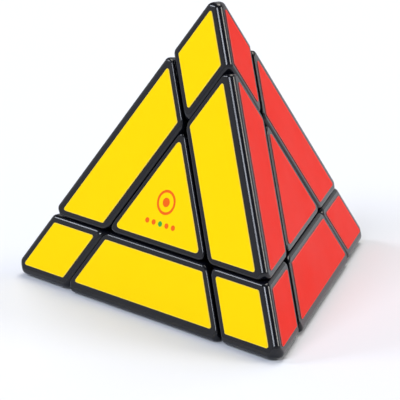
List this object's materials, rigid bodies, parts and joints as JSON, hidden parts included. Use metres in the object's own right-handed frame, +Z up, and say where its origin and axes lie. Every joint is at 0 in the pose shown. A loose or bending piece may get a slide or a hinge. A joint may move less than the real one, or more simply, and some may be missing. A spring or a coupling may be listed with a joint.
{
  "type": "pyramid twisty puzzle",
  "caption": "Tetrahedral twisty puzzle with centre, edge and corner pieces that turn in layers about the four face axes, carried on a sprung core.",
  "frame": {"origin": "centre of the base triangle, on the outer surface of the base stickers", "axes": "+Z up to the top corner, -Y out of the front (yellow) face's side, +X to the right seen from the front"},
  "size_m": [0.0936, 0.082, 0.0768],
  "materials": {
    "black_plastic": "satin to glossy moulded ABS",
    "core_plastic": "natural white ABS",
    "screw_steel": "zinc-plated steel",
    "spring_steel": "drawn spring steel",
    "washer_steel": "zinc-plated steel",
    "sticker_front": "yellow vinyl sticker",
    "sticker_right": "red vinyl sticker",
    "sticker_left": "blue vinyl sticker",
    "sticker_base": "green vinyl sticker"
  },
  "bodies": {
    "core": {"core": "core_plastic", "axis_screws": "screw_steel", "axis_springs": "spring_steel", "axis_washers": "washer_steel"},
    "centre_front": {"centre_front_hub": "black_plastic", "centre_front_cap": "black_plastic", "sticker_front_centre": "sticker_front"},
    "centre_right": {"centre_right_hub": "black_plastic", "centre_right_cap": "black_plastic", "sticker_right_centre": "sticker_right"},
    "centre_left": {"centre_left_hub": "black_plastic", "centre_left_cap": "black_plastic", "sticker_left_centre": "sticker_left"},
    "centre_base": {"centre_base_hub": "black_plastic", "centre_base_cap": "black_plastic", "sticker_base_centre": "sticker_base"},
    "edge_front_base": {"edge_front_base_foot": "black_plastic", "edge_front_base_shell": "black_plastic", "sticker_front_edge_base": "sticker_front", "sticker_base_edge_front": "sticker_base"},
    "edge_right_base": {"edge_right_base_foot": "black_plastic", "edge_right_base_shell": "black_plastic", "sticker_right_edge_base": "sticker_right", "sticker_base_edge_right": "sticker_base"},
    "edge_left_base": {"edge_left_base_foot": "black_plastic", "edge_left_base_shell": "black_plastic", "sticker_left_edge_base": "sticker_left", "sticker_base_edge_left": "sticker_base"},
    "edge_front_right": {"edge_front_right_foot": "black_plastic", "edge_front_right_shell": "black_plastic", "sticker_front_edge_right": "sticker_front", "sticker_right_edge_front": "sticker_right"},
    "edge_front_left": {"edge_front_left_foot": "black_plastic", "edge_front_left_shell": "black_plastic", "sticker_front_edge_left": "sticker_front", "sticker_left_edge_front": "sticker_left"},
    "edge_back": {"edge_back_foot": "black_plastic", "edge_back_shell": "black_plastic", "sticker_right_edge_left": "sticker_right", "sticker_left_edge_right": "sticker_left"},
    "corner_front_right": {"corner_front_right_foot": "black_plastic", "corner_front_right_shell": "black_plastic", "sticker_front_corner_front_right": "sticker_front", "sticker_right_corner_front_right": "sticker_right", "sticker_base_corner_front_right": "sticker_base"},
    "corner_front_left": {"corner_front_left_foot": "black_plastic", "corner_front_left_shell": "black_plastic", "sticker_front_corner_front_left": "sticker_front", "sticker_left_corner_front_left": "sticker_left", "sticker_base_corner_front_left": "sticker_base"},
    "corner_back": {"corner_back_foot": "black_plastic", "corner_back_shell": "black_plastic", "sticker_right_corner_back": "sticker_right", "sticker_left_corner_back": "sticker_left", "sticker_base_corner_back": "sticker_base"},
    "corner_top": {"corner_top_foot": "black_plastic", "corner_top_shell": "black_plastic", "sticker_front_corner_top": "sticker_front", "sticker_right_corner_top": "sticker_right", "sticker_left_corner_top": "sticker_left"}
  },
  "joints": [
    {"name": "base_turn", "type": "hinge", "parent": "core", "child": "centre_base", "pos_m": [0, 0, 0.02061], "axis": [0, 0, -1], "continuous": true},
    {"name": "front_turn", "type": "hinge", "parent": "core", "child": "centre_front", "pos_m": [0, 0, 0.02061], "axis": [0, -0.9428, 0.3333], "range_deg": [-360, 360]},
    {"name": "right_turn", "type": "hinge", "parent": "core", "child": "centre_right", "pos_m": [0, 0, 0.02061], "axis": [0.8165, 0.4714, 0.3333], "range_deg": [-360, 360]},
    {"name": "left_turn", "type": "hinge", "parent": "core", "child": "centre_left", "pos_m": [0, 0, 0.02061], "axis": [-0.8165, 0.4714, 0.3333], "range_deg": [-360, 360]},
    {"name": "edge_front_base_with_base", "type": "hinge", "parent": "centre_front", "child": "edge_front_base", "pos_m": [0, 0, 0.02061], "axis": [0, 0, -1], "continuous": true},
    {"name": "edge_right_base_with_base", "type": "hinge", "parent": "centre_right", "child": "edge_right_base", "pos_m": [0, 0, 0.02061], "axis": [0, 0, -1], "continuous": true},
    {"name": "edge_left_base_with_base", "type": "hinge", "parent": "centre_left", "child": "edge_left_base", "pos_m": [0, 0, 0.02061], "axis": [0, 0, -1], "continuous": true},
    {"name": "edge_front_right_with_front", "type": "hinge", "parent": "centre_right", "child": "edge_front_right", "pos_m": [0, 0, 0.02061], "axis": [0, -0.9428, 0.3333], "range_deg": [-360, 360]},
    {"name": "edge_front_left_with_front", "type": "hinge", "parent": "centre_left", "child": "edge_front_left", "pos_m": [0, 0, 0.02061], "axis": [0, -0.9428, 0.3333], "range_deg": [-360, 360]},
    {"name": "edge_back_with_right", "type": "hinge", "parent": "centre_left", "child": "edge_back", "pos_m": [0, 0, 0.02061], "axis": [0.8165, 0.4714, 0.3333], "range_deg": [-360, 360]},
    {"name": "corner_front_right_with_base", "type": "hinge", "parent": "edge_front_right", "child": "corner_front_right", "pos_m": [0, 0, 0.02061], "axis": [0, 0, -1], "continuous": true},
    {"name": "corner_front_left_with_base", "type": "hinge", "parent": "edge_front_left", "child": "corner_front_left", "pos_m": [0, 0, 0.02061], "axis": [0, 0, -1], "continuous": true},
    {"name": "corner_back_with_base", "type": "hinge", "parent": "edge_back", "child": "corner_back", "pos_m": [0, 0, 0.02061], "axis": [0, 0, -1], "continuous": true},
    {"name": "corner_top_with_front", "type": "hinge", "parent": "edge_back", "child": "corner_top", "pos_m": [0, 0, 0.02061], "axis": [0, -0.9428, 0.3333], "range_deg": [-360, 360]}
  ],
  "couplings": [
    {"joint": "edge_front_base_with_base", "follows": "base_turn", "ratio": 1},
    {"joint": "edge_right_base_with_base", "follows": "base_turn", "ratio": 1},
    {"joint": "edge_left_base_with_base", "follows": "base_turn", "ratio": 1},
    {"joint": "edge_front_right_with_front", "follows": "front_turn", "ratio": 1},
    {"joint": "edge_front_left_with_front", "follows": "front_turn", "ratio": 1},
    {"joint": "edge_back_with_right", "follows": "right_turn", "ratio": 1},
    {"joint": "corner_front_right_with_base", "follows": "base_turn", "ratio": 1},
    {"joint": "corner_front_left_with_base", "follows": "base_turn", "ratio": 1},
    {"joint": "corner_back_with_base", "follows": "base_turn", "ratio": 1},
    {"joint": "corner_top_with_front", "follows": "front_turn", "ratio": 1}
  ]
}
